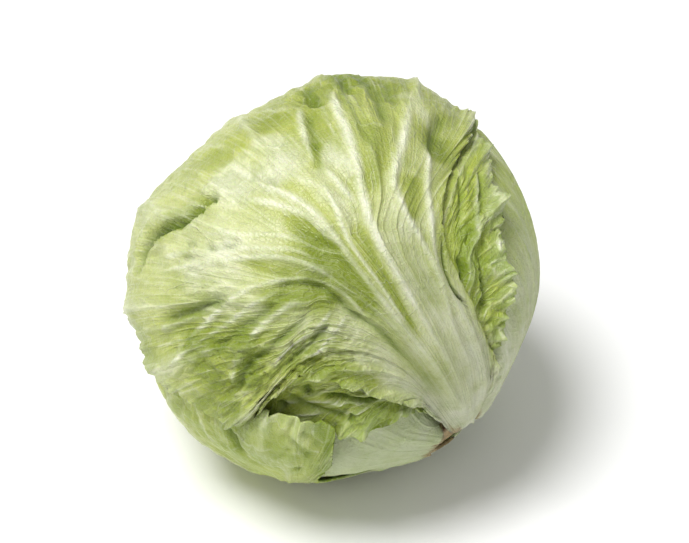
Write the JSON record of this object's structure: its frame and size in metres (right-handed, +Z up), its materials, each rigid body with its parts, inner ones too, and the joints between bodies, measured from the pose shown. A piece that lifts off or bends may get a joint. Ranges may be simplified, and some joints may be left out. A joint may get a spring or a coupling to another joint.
{
  "type": "head of lettuce",
  "caption": "Round head of crisp iceberg lettuce lying on its side, with ruffled wrapper leaves over a packed heart and a browned cut stem.",
  "frame": {"origin": "middle of the small flat spot on the underside that the head rests on", "axes": "+Z up, +X to the viewer's right, -Y towards the viewer; the stem points to +X, -Y and down"},
  "size_m": [0.1652, 0.1687, 0.1595],
  "materials": {
    "leaf_front": "waxy yellow-green leaf with pale ribs",
    "leaf_underside": "waxy pale green leaf with pale ribs",
    "leaf_inner": "bright green ruffled leaf",
    "leaf_right": "smooth pale green leaf",
    "leaf_bottom": "pale green leaf, almost white at its root",
    "leaf_back": "waxy green leaf with pale ribs",
    "heart": "pale packed inner leaves",
    "stem": "moist cut stem, browned by air"
  },
  "bodies": {
    "root": {"leaf_1_front": "leaf_front", "leaf_2_underside": "leaf_underside", "leaf_3_inner_front": "leaf_inner", "leaf_4_right": "leaf_right", "leaf_5_bottom": "leaf_bottom", "leaf_6_back": "leaf_back", "heart": "heart", "core_cut_stem": "stem"}
  },
  "joints": []
}
